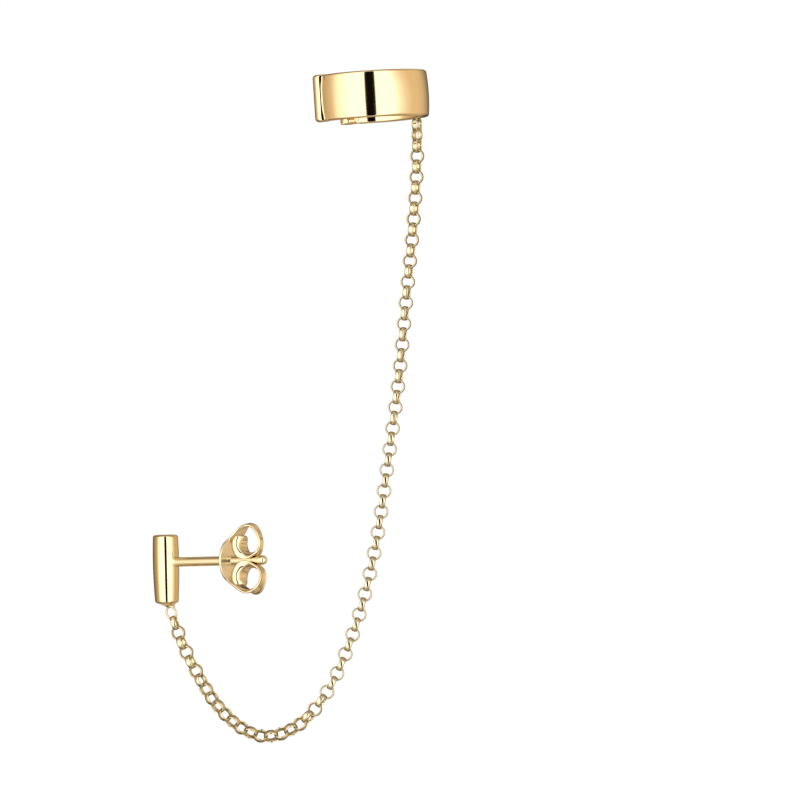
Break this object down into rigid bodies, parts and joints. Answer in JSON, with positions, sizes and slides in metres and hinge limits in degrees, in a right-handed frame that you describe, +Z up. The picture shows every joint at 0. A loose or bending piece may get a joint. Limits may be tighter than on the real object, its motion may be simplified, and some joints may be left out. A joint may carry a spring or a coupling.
{
  "type": "ear chain earring",
  "caption": "Ear chain earring: a barrel bar on an ear post with a butterfly nut, joined by a fine rolo chain to an open cuff that clips round the ear's rim.",
  "frame": {"origin": "on the axis of the ear post, at the back of the bar, where the front of the ear lobe sits", "axes": "+X along the ear post, away from the bar and towards the nut; +Z up, along the bar; the chain hangs in a plane turned 34 degrees from +X towards +Y"},
  "size_m": [0.026, 0.0175, 0.0632],
  "materials": {
    "polished_gold": "mirror polished yellow gold plate",
    "nut_gold": "polished yellow gold plate on rolled sheet"
  },
  "bodies": {
    "earring": {"ear_cuff": "polished_gold", "chain": "polished_gold", "bar_stud": "polished_gold"},
    "nut": {"ear_nut": "nut_gold"}
  },
  "joints": [
    {"name": "nut_slide", "type": "slide", "parent": "earring", "child": "nut", "axis": [1, 0, 0], "range_m": [-0.0061, 0.006]}
  ]
}
